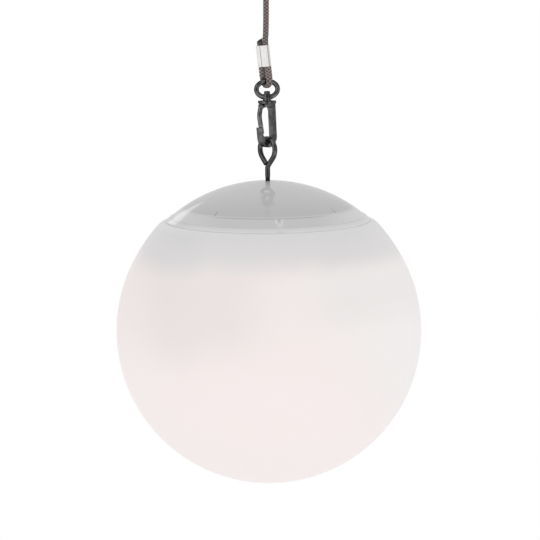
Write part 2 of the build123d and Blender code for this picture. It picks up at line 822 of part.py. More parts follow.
with BuildPart() as cover_screws:
    with BuildSketch(level(cover_z - screw_head_height)):
        for turn in post_turns:
            with PolarLocations(post_radius, 1, turn):
                Circle(screw_head_diameter / 2)
    extrude(amount=screw_head_height)
    with BuildSketch(level(cover_z)):
        for turn in post_turns:
            with PolarLocations(post_radius, 1, turn):
                Circle(screw_diameter / 2)
    extrude(amount=cover_plate + cover_screw_length - locate_gap)

# Circuit board on its standoffs
with BuildPart() as circuit_board:
    with BuildSketch(level(box_z + standoff_height)):
        with Locations((0, board_shift)):
            Rectangle(board_width, board_depth)
            with GridLocations(*standoff_spacing, standoff_rows, standoff_rows):
                Circle(screw_diameter / 2 + turn_gap, mode=Mode.SUBTRACT)
    extrude(amount=board_thickness)

with BuildPart() as board_screws:
    with BuildSketch(level(board_top)):
        with Locations((0, board_shift)):
            with GridLocations(*standoff_spacing, standoff_rows, standoff_rows):
                Circle(screw_head_diameter / 2)
    extrude(amount=screw_head_height)
    with BuildSketch(level(board_top)):
        with Locations((0, board_shift)):
            with GridLocations(*standoff_spacing, standoff_rows, standoff_rows):
                Circle(screw_diameter / 2)
    extrude(amount=-board_thickness - board_screw_length)

# Lamp under the board, and its lens in the cover
with BuildPart() as led:
    with BuildSketch(level(box_z + standoff_height - led_thickness)):
        Rectangle(led_side, led_side)
    extrude(amount=led_thickness)

lens_curve = (lens_radius**2 + lens_drop**2) / (2 * lens_drop)
lens_mid = cover_z - lens_drop + lens_curve
lens_angle = math.degrees(math.asin(lens_radius / lens_curve))
with BuildPart() as led_lens:
    with BuildSketch(lamp_side):
        with BuildLine():
            Polyline(
                (0, box_z + lens_flange),
                (lens_flange_radius, box_z + lens_flange),
                (lens_flange_radius, box_z),
                (lens_radius, box_z),
                (lens_radius, cover_z),
            )
            CenterArc((0, lens_mid), lens_curve, -90, lens_angle)
            Line((0, cover_z - lens_drop), (0, box_z + lens_flange))
        make_face()
    revolve(axis=Axis.Z)

# Slide switch under the board, its knob through the cover
switch_z = box_z + standoff_height - switch_height
with BuildPart() as switch_body:
    with BuildSketch(level(switch_z)):
        with Locations(switch_place):
            Rectangle(switch_width, switch_depth)
    extrude(amount=switch_height)

with BuildPart() as switch_slider:
    with BuildSketch(level(cover_z - knob_proud)):
        with Locations((switch_place[0] - switch_travel / 2, switch_place[1])):
            Rectangle(knob_width, knob_depth)
    extrude(amount=switch_z - flat_gap - cover_z + knob_proud)
    chamfer(switch_slider.faces().sort_by(Axis.Z)[0].edges(), knob_bevel)

# Battery cell along X in its tray, with a contact at each end
cell_z = box_z + battery_lift + battery_diameter / 2
cell_end = Plane(origin=(-battery_length / 2, battery_shift, globe_z + cell_z), z_dir=(1, 0, 0))
with BuildPart() as battery:
    with BuildSketch(cell_end):
        Circle(battery_diameter / 2)
    extrude(amount=battery_length - button_height)
    with BuildSketch(cell_end.offset(battery_length - button_height)):
        Circle(button_diameter / 2)
    extrude(amount=button_height)

contact_z = box_z + battery_lift
with BuildPart() as battery_contacts:
    with BuildSketch(level(contact_z)):
        for side in (-1, 1):
            with Locations((side * (battery_length + contact_thickness) / 2, battery_shift)):
                Rectangle(contact_thickness, contact_width)
    extrude(amount=contact_height)

# Door under the battery, held by one screw
with BuildPart() as battery_door:
    with BuildSketch(level(cover_z - door_plate)):
        with Locations((-tray_length / 2 - door_lap, battery_shift)):
            Rectangle(
                tray_length + door_lap + tray_wall + door_ear,
                tray_depth + 2 * door_lap,
                align=(Align.MIN, Align.CENTER),
            )
        with Locations((door_post_x, battery_shift)):
            Circle(screw_diameter / 2 + turn_gap, mode=Mode.SUBTRACT)
    extrude(amount=door_plate)
    with BuildSketch(level(cover_z)):
        with Locations((0, battery_shift)):
            Rectangle(tray_length - 2 * door_gap, tray_depth - 2 * door_gap)
            Rectangle(
                tray_length - 2 * door_gap - 2 * tray_wall,
                tray_depth - 2 * door_gap - 2 * tray_wall,
                mode=Mode.SUBTRACT,
            )
    extrude(amount=cover_plate)

with BuildPart() as door_screw:
    with BuildSketch(level(cover_z - door_plate - screw_head_height)):
        with Locations((door_post_x, battery_shift)):
            Circle(screw_head_diameter / 2)
    extrude(amount=screw_head_height)
    with BuildSketch(level(cover_z - door_plate)):
        with Locations((door_post_x, battery_shift)):
            Circle(screw_diameter / 2)
    extrude(amount=door_plate + cover_plate + board_screw_length)

# Leads: two from the panel straight down to the board, one from each battery contact
with BuildPart() as panel_leads:
    with BuildSketch(level(board_top)):
        with Locations(lead_place):
            with GridLocations(lead_spacing, 0, 2, 1):
                Circle(lead_diameter / 2)
    extrude(amount=panel_z - board_top)

lead_z = globe_z + contact_z + contact_height - lead_diameter / 2
contact_x = (battery_length + contact_thickness) / 2
contact_y = battery_shift - contact_width / 2
board_corner_y = board_shift + board_depth / 2 - 2 * board_inset
with BuildPart() as battery_leads:
    for side in (-1, 1):
        with BuildLine() as lead_path:
            FilletPolyline(
                (side * contact_x, contact_y, lead_z),
                (side * contact_x, board_corner_y, lead_z),
                (side * contact_x, board_corner_y, globe_z + board_top),
                radius=lead_diameter,
            )
        with BuildSketch(Plane(origin=lead_path.line @ 0, z_dir=lead_path.line % 0)):
            Circle(lead_diameter / 2)
        sweep(path=lead_path.line)

pieces = {
    "hanging_cord": hanging_cord,
    "lower_ferrule": lower_ferrule,
    "upper_ferrule": upper_ferrule,
    "swivel_ring": swivel_ring,
    "swivel_rivet": swivel_rivet,
    "hook_body": hook_body,
    "gate_pin": gate_pin,
    "hook_gate": hook_gate,
    "gate_spring": gate_spring,
    "eye_bolt": eye_bolt,
    "seal_washer": seal_washer,
    "eye_washer": eye_washer,
    "eye_nut": eye_nut,
    "globe": globe,
    "cap_dome": cap_dome,
    "neck_gasket": neck_gasket,
    "module_base": module_base,
    "cap_screws": cap_screws,
    "panel_pad": panel_pad,
    "solar_panel": solar_panel,
    "lower_cover": lower_cover,
    "cover_screws": cover_screws,
    "circuit_board": circuit_board,
    "board_screws": board_screws,
    "led": led,
    "led_lens": led_lens,
    "switch_body": switch_body,
    "switch_slider": switch_slider,
    "battery": battery,
    "battery_contacts": battery_contacts,
    "battery_door": battery_door,
    "door_screw": door_screw,
    "panel_leads": panel_leads,
    "battery_leads": battery_leads,
}
for name, piece in pieces.items():
    piece.part.label = name
    export_step(piece.part, f"parts/{name}.step")
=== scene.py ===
import bpy
import math
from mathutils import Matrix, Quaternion, Vector


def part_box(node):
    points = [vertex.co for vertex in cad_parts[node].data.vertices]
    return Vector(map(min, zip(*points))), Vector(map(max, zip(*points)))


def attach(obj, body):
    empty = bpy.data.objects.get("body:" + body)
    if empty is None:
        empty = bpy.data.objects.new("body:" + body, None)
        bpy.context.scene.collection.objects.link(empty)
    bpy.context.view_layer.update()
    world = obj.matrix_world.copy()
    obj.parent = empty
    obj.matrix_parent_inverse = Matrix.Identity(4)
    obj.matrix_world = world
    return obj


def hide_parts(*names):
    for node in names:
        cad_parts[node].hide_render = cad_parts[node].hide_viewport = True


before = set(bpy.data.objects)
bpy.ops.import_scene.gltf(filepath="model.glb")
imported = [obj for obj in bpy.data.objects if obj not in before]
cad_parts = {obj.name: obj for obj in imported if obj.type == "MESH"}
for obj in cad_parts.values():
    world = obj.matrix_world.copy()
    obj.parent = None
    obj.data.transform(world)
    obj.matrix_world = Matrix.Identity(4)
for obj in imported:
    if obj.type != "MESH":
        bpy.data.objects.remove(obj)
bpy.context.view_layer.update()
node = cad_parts

# Heights in metres, and the direction to the right in the photograph's view
DOME_TOP_Z = -0.18115
GLOBE_Z = -0.28005
SIDEWAYS = (0.70711, -0.70711, 0)


# Node steps shared by the studio and the materials

def measure(tree, operation, first, second=None, third=None):
    step = tree.nodes.new("ShaderNodeMath")
    step.operation = operation
    for index, value in enumerate((first, second, third)):
        if value is None:
            continue
        if isinstance(value, (int, float)):
            step.inputs[index].default_value = value
        else:
            tree.links.new(value, step.inputs[index])
    return step.outputs[0]


def times(tree, first, second):
    return measure(tree, "MULTIPLY", first, second)


def span(tree, first, second):
    """Straight distance over two distances at right angles."""
    squares = measure(tree, "ADD", times(tree, first, first), times(tree, second, second))
    return measure(tree, "SQRT", squares)


def soft_step(tree, value, start, end):
    """Rises from 0 at the start to 1 at the end."""
    stretch = tree.nodes.new("ShaderNodeMapRange")
    stretch.interpolation_type = "SMOOTHSTEP"
    stretch.inputs["From Min"].default_value = start
    stretch.inputs["From Max"].default_value = end
    tree.links.new(value, stretch.inputs["Value"])
    return stretch.outputs["Result"]


def fade_out(tree, value, start, end):
    """Falls from 1 at the start to 0 at the end."""
    return measure(tree, "SUBTRACT", 1.0, soft_step(tree, value, start, end))


def between(tree, value, rise, fall):
    """1 from the end of the rise to the start of the fall, and 0 outside them."""
    return times(tree, soft_step(tree, value, *rise), fade_out(tree, value, *fall))


def grey(level):
    return (level, level, level)


def tone_ramp(tree, value, low, high, stops):
    stretch = tree.nodes.new("ShaderNodeMapRange")
    stretch.inputs["From Min"].default_value = low
    stretch.inputs["From Max"].default_value = high
    tree.links.new(value, stretch.inputs["Value"])
    ramp = tree.nodes.new("ShaderNodeValToRGB")
    marks = ramp.color_ramp.elements
    marks.remove(marks[1])
    for index, (at, tone) in enumerate(stops):
        position = (at - low) / (high - low)
        stop = marks[0] if index == 0 else marks.new(position)
        stop.position = position
        stop.color = (*tone, 1)
    tree.links.new(stretch.outputs["Result"], ramp.inputs["Fac"])
    return ramp.outputs["Color"]


def shade_over(tree, base, mask, tone, share=None):
    """Lays a tone over the base where the mask is 1, in full or by the share."""
    mix = tree.nodes.new("ShaderNodeMix")
    mix.data_type = "RGBA"
    mix.inputs["B"].default_value = (*tone, 1)
    if share is not None:
        mask = times(tree, mask, share)
    tree.links.new(mask, mix.inputs["Factor"])
    tree.links.new(base, mix.inputs["A"])
    return mix.outputs["Result"]


def dot_with(tree, place, direction):
    product = tree.nodes.new("ShaderNodeVectorMath")
    product.operation = "DOT_PRODUCT"
    product.inputs[1].default_value = tuple(direction)
    tree.links.new(place, product.inputs[0])
    return product.outputs["Value"]


def mix_shaders(tree, share, first, second):
    mix = tree.nodes.new("ShaderNodeMixShader")
    tree.links.new(share, mix.inputs["Fac"])
    tree.links.new(first.outputs[0], mix.inputs[1])
    tree.links.new(second.outputs[0], mix.inputs[2])
    return mix


# Camera, light and backdrop

STUDIO_MIDDLE = Vector((0, 0, -0.24))

# Name, distances toward the camera, to the right and up, size, power
STUDIO_LAMPS = (
    ("key_lamp", 1.4, -0.9, 0.8, (0.5, 0.9), 0.9),
    ("fill_lamp", 1.2, 1.1, -0.1, (0.4, 1.2), 0.5),
    ("rear_lamp", -1.26, -0.66, 0.68, (0.45, 0.32), 0.30),
)

# Turn from the camera's side to the right, and how light the studio is there
STUDIO_PANELS = (
    (-math.pi, 0.72),
    (-2.70, 0.80),
    (-2.35, 0.15),
    (-2.00, 0.15),
    (-1.75, 0.38),
    (-1.30, 0.38),
    (-1.00, 1.0),
    (-0.50, 1.0),
    (-0.35, 0.03),
    (0.22, 0.03),
    (0.40, 0.70),
    (0.75, 0.70),
    (0.90, 0.05),
    (1.25, 0.05),
    (1.40, 0.45),
    (1.72, 0.45),
    (1.90, 1.0),
    (2.10, 1.0),
    (2.40, 0.80),
    (math.pi, 0.72),
)


def set_camera():
    azimuth = math.radians(-45)
    elevation = math.radians(8.4)
    lean = math.radians(0.45)
    distance = 1.9
    view_width = 0.3537
    film_width = 36
    aim_z = -0.23987
    aim_aside = 0.00101
    back = Vector((
        math.sin(azimuth) * math.cos(elevation),
        -math.cos(azimuth) * math.cos(elevation),
        math.sin(elevation),
    ))
    right = Vector((math.cos(azimuth), math.sin(azimuth), 0))
    aim = Vector((0, 0, aim_z)) + right * aim_aside
    data = bpy.data.cameras.new("view_camera")
    data.lens = film_width * distance / view_width
    data.clip_end = 20
    camera = bpy.data.objects.new("view_camera", data)
    bpy.context.collection.objects.link(camera)
    camera.location = aim + back * distance
    facing = (-back).to_track_quat("-Z", "Y") @ Quaternion((0, 0, 1), -lean)
    camera.rotation_euler = facing.to_euler()
    bpy.context.scene.camera = camera
    return back, right


def soft_lamp(name, place, size, power):
    data = bpy.data.lights.new(name, "AREA")
    data.shape = "RECTANGLE"
    data.size, data.size_y = size
    data.energy = power
    lamp = bpy.data.objects.new(name, data)
    bpy.context.collection.objects.link(lamp)
    lamp.visible_camera = False
    lamp.location = place
    lamp.rotation_euler = (STUDIO_MIDDLE - place).to_track_quat("-Z", "Y").to_euler()


def studio_panels(tree, back, right):
    """White all round, with dark gaps between the soft boxes, as the shiny metal mirrors it."""
    overhead_edge = (0.45, 0.75)
    overhead_tone = grey(0.75)
    place = tree.nodes.new("ShaderNodeTexCoord").outputs["Generated"]
    toward = dot_with(tree, place, (back.x, back.y, 0))
    turn = measure(tree, "ARCTAN2", dot_with(tree, place, right), toward)
    panels = [(at, grey(level)) for at, level in STUDIO_PANELS]
    bands = tone_ramp(tree, turn, -math.pi, math.pi, panels)
    rise = measure(tree, "ABSOLUTE", dot_with(tree, place, (0, 0, 1)))
    overhead = soft_step(tree, rise, *overhead_edge)
    return shade_over(tree, bands, overhead, overhead_tone)


def background(tree, colour=(1, 1, 1), strength=1.0):
    light = tree.nodes.new("ShaderNodeBackground")
    light.inputs["Color"].default_value = (*colour, 1)
    light.inputs["Strength"].default_value = strength
    return light


def set_studio(back, right):
    bpy.context.scene.view_settings.view_transform = "Standard"
    world = bpy.data.worlds.new("studio")
    bpy.context.scene.world = world
    world.use_nodes = True
    tree = world.node_tree
    tree.nodes.clear()
    out = tree.nodes.new("ShaderNodeOutputWorld")
    path = tree.nodes.new("ShaderNodeLightPath").outputs
    seen = background(tree)
    lit = background(tree, colour=(1.0, 0.989, 0.991), strength=0.97)
    mirrored = background(tree)
    tree.links.new(studio_panels(tree, back, right), mirrored.inputs["Color"])
    shining = mix_shaders(tree, path["Is Glossy Ray"], lit, mirrored)
    clear = measure(tree, "MAXIMUM", path["Is Camera Ray"], path["Is Transmission Ray"])
    whole = mix_shaders(tree, clear, shining, seen)
    tree.links.new(whole.outputs[0], out.inputs["Surface"])
    for name, toward, aside, up, size, power in STUDIO_LAMPS:
        place = STUDIO_MIDDLE + back * toward + right * aside + Vector((0, 0, up))
        soft_lamp(name, place, size, power)


def lay_floor():
    floor_width = 6
    floor_z = -0.85
    bpy.ops.object.select_all(action="DESELECT")
    bpy.ops.mesh.primitive_plane_add(size=floor_width, location=(0, 0, floor_z))
    floor = bpy.context.object
    floor.name = "studio_floor"
    material, tree, shader = start_material("floor_white")
    shader.inputs["Base Color"].default_value = (0.94, 0.94, 0.94, 1)
    shader.inputs["Roughness"].default_value = 0.9
    glow = tree.nodes.new("ShaderNodeEmission")
    glow.inputs["Strength"].default_value = 1.0
    path = tree.nodes.new("ShaderNodeLightPath").outputs
    mix = mix_shaders(tree, path["Is Camera Ray"], shader, glow)
    tree.links.new(mix.outputs[0], tree.nodes["Material Output"].inputs["Surface"])
    floor.data.materials.append(material)


# Materials

def start_material(name):
    material = bpy.data.materials.new(name)
    material.use_nodes = True
    tree = material.node_tree
    return material, tree, tree.nodes["Principled BSDF"]


def object_place(tree):
    return tree.nodes.new("ShaderNodeTexCoord").outputs["Object"]


def place_along(tree, axis):
    split = tree.nodes.new("ShaderNodeSeparateXYZ")
    tree.links.new(object_place(tree), split.inputs["Vector"])
    return split.outputs[axis]


def place_sideways(tree):
    return dot_with(tree, object_place(tree), SIDEWAYS)


def grain(tree, scale, detail=3.0):
    noise = tree.nodes.new("ShaderNodeTexNoise")
    noise.inputs["Scale"].default_value = scale
    noise.inputs["Detail"].default_value = detail
    tree.links.new(object_place(tree), noise.inputs["Vector"])
    return noise.outputs["Fac"]


def two_tones(tree, value, dark, light, low=0.35, high=0.65):
    ramp = tree.nodes.new("ShaderNodeValToRGB")
    for mark, position, tone in zip(ramp.color_ramp.elements, (low, high), (dark, light)):
        mark.position = position
        mark.color = (*tone, 1)
    tree.links.new(value, ramp.inputs["Fac"])
    return ramp.outputs["Color"]


def spread(tree, value, low, high):
    stretch = tree.nodes.new("ShaderNodeMapRange")
    stretch.inputs["To Min"].default_value = low
    stretch.inputs["To Max"].default_value = high
    tree.links.new(value, stretch.inputs["Value"])
    return stretch.outputs["Result"]


def dress(tree, shader, tone, texture, rough):
    """Gives the shader its tone, and a roughness that follows the texture."""
    tree.links.new(tone, shader.inputs["Base Color"])
    tree.links.new(spread(tree, texture, *rough), shader.inputs["Roughness"])


def relief(tree, value, shader, strength, depth):
    bump = tree.nodes.new("ShaderNodeBump")
    bump.inputs["Strength"].default_value = strength
    bump.inputs["Distance"].default_value = depth
    tree.links.new(value, bump.inputs["Height"])
    tree.links.new(bump.outputs["Normal"], shader.inputs["Normal"])


def moulded_plastic(name, dark, light, rough=(0.4, 0.55), scale=900):
    cloud_scale = 60
    material, tree, shader = start_material(name)
    fine = grain(tree, scale)
    tone = two_tones(tree, grain(tree, cloud_scale), dark, light)
    dress(tree, shader, tone, fine, rough)
    relief(tree, fine, shader, strength=0.15, depth=0.0002)
    return material


def plain_metal(name, dark, light, rough, scale, edge=1.0, bump=0.15):
    cloud_scale = scale / 4
    material, tree, shader = start_material(name)
    shader.inputs["Metallic"].default_value = 1.0
    shader.inputs["Specular Tint"].default_value = (edge, edge, edge, 1)
    fine = grain(tree, scale, detail=4.0)
    tone = two_tones(tree, grain(tree, cloud_scale), dark, light)
    dress(tree, shader, tone, fine, rough)
    relief(tree, fine, shader, strength=bump, depth=0.0001)
    return material


def paint(material, *piece_names):
    for piece_name in piece_names:
        slots = node[piece_name].data.materials
        slots.clear()
        slots.append(material)


# Braided cord

CORD_DIAMETER = 0.004
CORD_ROUTE = (
    (-0.00232, 0.00427, -0.08830),
    (-0.00107, 0.00302, -0.11047),
    (0.00126, 0.00451, -0.11703),
    (0.00037, 0.00170, -0.11987),
    (-0.00104, -0.00222, -0.11949),
    (-0.00173, -0.00425, -0.11621),
    (0.00020, -0.00130, -0.11010),
    (-0.00134, 0.00024, -0.09100),
    (-0.00106, -0.00055, -0.08400),
    (-0.00162, -0.00141, -0.05800),
    (-0.00162, -0.00141, -0.03100),
    (-0.00649, -0.00564, -0.00390),
    (-0.00287, -0.00249, 0.00200),
    (0.00287, 0.00249, 0.00200),
    (0.00649, 0.00564, -0.00390),
    (0.00162, 0.00141, -0.03100),
    (0.00162, 0.00141, -0.06050),
)

# Side of the cut tail that is lower, at the left of the photograph's view
TAIL_LOW_SIDE = Vector((-0.7071, 0.7071, 0))


def cord_line():
    least_step = 0.00002
    curve = bpy.data.curves.new("cord_line", "CURVE")
    curve.dimensions = "3D"
    spline = curve.splines.new("NURBS")
    spline.points.add(len(CORD_ROUTE) - 1)
    for point, place in zip(spline.points, CORD_ROUTE):
        point.co = (*place, 1)
    spline.order_u = 3
    spline.use_endpoint_u = True
    spline.resolution_u = 64
    line = bpy.data.objects.new("cord_line", curve)
    bpy.context.collection.objects.link(line)
    ready = line.evaluated_get(bpy.context.evaluated_depsgraph_get())
    mesh = bpy.data.meshes.new_from_object(ready)
    points = []
    for vertex in mesh.vertices:
        if not points or (vertex.co - points[-1]).length > least_step:
            points.append(vertex.co.copy())
    bpy.data.objects.remove(line)
    bpy.data.meshes.remove(mesh)
    return points


def cord_frames(points):
    """Each point of the line, with its direction ahead and two directions across it."""
    frames = []
    side = Vector((1, 0, 0))
    for index, point in enumerate(points):
        ahead = points[min(index + 1, len(points) - 1)] - points[max(index - 1, 0)]
        ahead.normalize()
        side = (side - ahead * side.dot(ahead)).normalized()
        frames.append((point, ahead, side, ahead.cross(side)))
    return frames


def braid_height(around, along):
    """Height of the braid from 0 to 1, and the place across the strand that lies on top."""
    crown_power = 0.6
    valley = 0.45
    first = around + along
    second = around - along
    lead, cross = first % 1, second % 1
    if (math.floor(first) + math.floor(second)) % 2:
        lead, cross = cross, lead
    crown = math.sin(math.pi * lead) ** crown_power
    return crown * (valley + (1 - valley) * math.sin(math.pi * cross)), lead


def limited(share):
    return min(max(share, 0), 1)


def eased(share):
    return share * share * (3 - 2 * share)


def ring_press(point):
    """How far the cord is pressed flat under the ring, from 0 to 1."""
    start_z = -0.1150
    drop = 0.0035
    return eased(limited((start_z - point.z) / drop))


def loose_swell(point):
    """How far the braid opens below the sleeve, from 0 to 1."""
    low_z, low_reach = -0.1160, 0.0035
    high_z, high_reach = -0.1040, 0.0015
    return eased(limited((point.z - low_z) / low_reach) * limited((high_z - point.z) / high_reach))


def braided_cord(points):
    strands = 4
    sides = 56
    pitch = 0.00219
    depth = 0.00042
    swell = 0.0003
    swell_painted_light = 0.2
    flattening = 0.53
    cut_slant = 0.0022
    cut_reach = 0.0050
    singed_reach = 0.0045
    singed_light = 0.35
    frames = cord_frames(points)
    verts, heights, leads, faces = [], [], [], []
    travelled = 0.0
    for index, (point, ahead, side, other_side) in enumerate(frames):
        if index:
            travelled += (point - frames[index - 1][0]).length
        loose = loose_swell(point)
        press = 1 - flattening * ring_press(point)
        singed = min(singed_light + (1 - singed_light) * travelled / singed_reach, 1)
        for step in range(sides):
            turn = step / sides
            height, lead = braid_height(turn * strands, travelled / pitch)
            radius = CORD_DIAMETER / 2 - depth * (1 - height) + swell * loose
            angle = 2 * math.pi * turn
            outward = side * math.cos(angle) + other_side * math.sin(angle)
            offset = outward * radius
            if offset.z < 0:
                offset.z *= press
            if travelled < cut_reach:
                slope = cut_slant * (0.5 + 0.5 * outward.dot(TAIL_LOW_SIDE))
                offset += ahead * slope * (1 - travelled / cut_reach)
            verts.append(point + offset)
            # The weave heights that set the braid's tone carry painted shade in its valleys, the darker
            # singed end, and painted light where the braid swells loose.
            heights.append(height * singed * (1 + swell_painted_light * loose))
            leads.append(lead)
    rings = len(frames)
    for ring in range(rings - 1):
        for step in range(sides):
            after = (step + 1) % sides
            a, b = ring * sides + step, ring * sides + after
            faces.append((a, b, b + sides, a + sides))
    faces.append(tuple(reversed(range(sides))))
    faces.append(tuple((rings - 1) * sides + step for step in range(sides)))
    mesh = bpy.data.meshes.new("hanging_cord_braid")
    mesh.from_pydata(verts, [], faces)
    for name, values in (("weave", heights), ("yarn", leads)):
        mesh.attributes.new(name, "FLOAT", "POINT").data.foreach_set("value", values)
    mesh.polygons.foreach_set("use_smooth", [True] * len(mesh.polygons))
    cord = bpy.data.objects.new("hanging_cord_braid", mesh)
    bpy.context.collection.objects.link(cord)
    return cord


def braid_value(tree, name):
    attribute = tree.nodes.new("ShaderNodeAttribute")
    attribute.attribute_name = name
    return attribute.outputs["Fac"]


def braid_material():
    threads = 5
    # The valley tone is painted shade in the hollows between the strands; the crown tone is the yarn's
    # own colour.
    valley, crown = (0.014, 0.010, 0.010), (0.32, 0.265, 0.255)
    thread_gap_shade = (0.03, 0.025, 0.025)
    dark_fibre = (0.06, 0.05, 0.05)
    thread_depth = 0.5
    material, tree, shader = start_material("taupe_braid")
    thread = measure(tree, "SINE", times(tree, braid_value(tree, "yarn"), 2 * math.pi * threads))
    fibre = grain(tree, scale=2600, detail=2.0)
    tone = two_tones(tree, braid_value(tree, "weave"), valley, crown, low=0.22, high=0.90)
    # Painted shade in the gaps between the threads of each strand.
    tone = shade_over(tree, tone, soft_step(tree, thread, start=0.3, end=1.4), thread_gap_shade)
    tone = shade_over(tree, tone, soft_step(tree, fibre, start=0.5, end=0.75), dark_fibre, share=0.35)
    tree.links.new(tone, shader.inputs["Base Color"])
    shader.inputs["Roughness"].default_value = 0.75
    shader.inputs["Sheen Weight"].default_value = 0.2
    shader.inputs["Sheen Roughness"].default_value = 0.4
    bumps = measure(tree, "MULTIPLY_ADD", thread, -thread_depth, fibre)
    relief(tree, bumps, shader, strength=0.3, depth=0.0001)
    return material


def melted_end(name, place, outward, material):
    """Lumpy flattened bead that closes a cut end of the cord."""
    radius = 0.0019
    thickness = 0.0005
    lumpiness = 0.06
    lump_waves = Vector((3, 5, 2))
    bpy.ops.object.select_all(action="DESELECT")
    bpy.ops.mesh.primitive_uv_sphere_add(segments=24, ring_count=12, radius=1)
    tip = bpy.context.object
    tip.name = name
    turned = outward.to_track_quat("Z", "Y").to_matrix()
    for vertex in tip.data.vertices:
        x, y, z = vertex.co
        lump = 1 + lumpiness * math.sin(vertex.co.dot(lump_waves))
        flat = Vector((x * radius * lump, y * radius * lump, z * thickness))
        vertex.co = place + turned @ flat
    bpy.ops.object.shade_smooth()
    tip.data.materials.append(material)
    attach(tip, "cord")


def hang_cord():
    tail_slant = 0.55
    tail_set_back = 0.0013
    points = cord_line()
    cord = braided_cord(points)
    cord.data.materials.append(braid_material())
    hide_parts("hanging_cord")
    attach(cord, "cord")
    charred = moulded_plastic(
        "melted_fibre", (0.02, 0.018, 0.018), (0.045, 0.04, 0.04), rough=(0.3, 0.5), scale=1500)
    along = (points[0] - points[1]).normalized()
    slanted = along + TAIL_LOW_SIDE * tail_slant
    melted_end("cord_tail_end", points[0] - along * tail_set_back, slanted, charred)
    melted_end("cord_loop_end", points[-1], points[-1] - points[-2], charred)


# Dome, with painted light and shade standing for the wall, bosses and gussets that show through it

# Radius on the dome in metres, and how light it is there: greyer toward the inner wall, a painted light
# line where the wall's top edge shows through, a thin line of painted shade just outside it, and a lip
# painted lighter as a painted highlight
DOME_TONES = (
    (0.0, 0.55),
    (0.020, 0.535),
    (0.035, 0.51),
    (0.048, 0.475),
    (0.0551, 0.46),
    (0.0555, 0.53),
    (0.0561, 0.53),
    (0.0564, 0.36),
    (0.0567, 0.36),
    (0.0570, 0.535),
    (0.0600, 0.53),
    (0.0632, 0.53),
    (0.0638, 0.60),
    (0.0657, 0.62),
    (0.0664, 0.69),
)
DOME_REACH = 0.067

# Radii in metres between which the inner wall's line and the band outside it begin and end
WALL_LINE = ((0.0560, 0.0563), (0.0568, 0.0571))
WALL_BAND = ((0.0569, 0.0573), (0.0628, 0.0636))


def dome_side_light(tree, tone, radius):
    """The inner wall's line and the band outside it are painted paler at the lamp's sides, as painted
    light falling from the sides.
    """
    pale = grey(0.60)
    line_share = 0.85
    aside = measure(tree, "ABSOLUTE", place_sideways(tree))
    line_side_light = times(tree, soft_step(tree, aside, start=0.026, end=0.044), line_share)
    line = times(tree, between(tree, radius, *WALL_LINE), line_side_light)
    tone = shade_over(tree, tone, line, pale)
    band_side_light = soft_step(tree, aside, start=0.028, end=0.058)
    band = times(tree, between(tree, radius, *WALL_BAND), band_side_light)
    return shade_over(tree, tone, band, pale)


def across_quarters(tree, radius, angle, first_turn):
    """Distance along the circle from the nearest of four marks, a quarter turn apart."""
    half = math.radians(45)
    turn = measure(tree, "WRAP", measure(tree, "SUBTRACT", angle, first_turn), half, -half)
    return times(tree, turn, radius)


def dome_bosses(tree, tone, radius, angle):
    """Four screw bosses against the inner wall, painted on the dome where they show through it: a pale
    wall and foot in painted light, and a dark hole in painted shade.
    """
    first_boss = math.radians(52)
    boss_circle = 0.0591
    hole_inward = 0.0011
    past_line, past_circle = (0.0567, 0.0571), (0.0590, 0.0602)
    bore_edge, boss_edge = (0.0010, 0.0019), (0.0021, 0.0027)
    foot_edge = (0.0014, 0.0028)
    hole_edge = (0.0005, 0.0012)
    across = across_quarters(tree, radius, angle, first_boss)
    outward = measure(tree, "SUBTRACT", radius, boss_circle)
    from_boss = span(tree, measure(tree, "MAXIMUM", outward, 0.0), across)
    boss = times(tree, fade_out(tree, from_boss, *boss_edge), soft_step(tree, radius, *past_line))
    wall = times(tree, boss, soft_step(tree, from_boss, *bore_edge))
    tone = shade_over(tree, tone, wall, grey(0.70), share=0.65)
    foot = fade_out(tree, measure(tree, "ABSOLUTE", across), *foot_edge)
    foot = times(tree, foot, soft_step(tree, radius, *past_circle))
    tone = shade_over(tree, tone, foot, grey(0.60), share=0.6)
    # Painted shade in the boss's screw hole.
    from_hole = span(tree, measure(tree, "ADD", outward, hole_inward), across)
    hole = fade_out(tree, from_hole, *hole_edge)
    return shade_over(tree, tone, hole, grey(0.38), share=0.6)


def dome_gussets(tree, tone, radius, angle):
    """Four thin gussets inside the inner wall, painted on the dome as darker lines of painted shade
    where they show through it.
    """
    first_gusset = math.radians(7)
    wall_inside = 0.0556
    thickness_edge = (0.0003, 0.0009)
    inner_end = (0.0505, 0.0535)
    across = measure(tree, "ABSOLUTE", across_quarters(tree, radius, angle, first_gusset))
    gusset = fade_out(tree, across, *thickness_edge)
    gusset = times(tree, gusset, soft_step(tree, radius, *inner_end))
    gusset = times(tree, gusset, measure(tree, "LESS_THAN", radius, wall_inside))
    return shade_over(tree, tone, gusset, grey(0.26), share=0.6)


def dome_material():
    material, tree, shader = start_material("milky_dome")
    x, y = place_along(tree, "X"), place_along(tree, "Y")
    radius = span(tree, x, y)
    angle = measure(tree, "ARCTAN2", y, x)
    # Painted light and shade by radius, from the table above.
    tone = tone_ramp(tree, radius, 0, DOME_REACH, [(at, grey(level)) for at, level in DOME_TONES])
    tone = dome_side_light(tree, tone, radius)
    tone = dome_bosses(tree, tone, radius, angle)
    tone = dome_gussets(tree, tone, radius, angle)
    dress(tree, shader, tone, grain(tree, scale=25), rough=(0.03, 0.06))
    relief(tree, grain(tree, scale=40), shader, strength=0.006, depth=0.0005)
    shader.inputs["Specular IOR Level"].default_value = 0.5
    return material


# Globe, painted lighter and warm below, with painted shade that greys and darkens it toward its rim, and
# cooler toward its right side

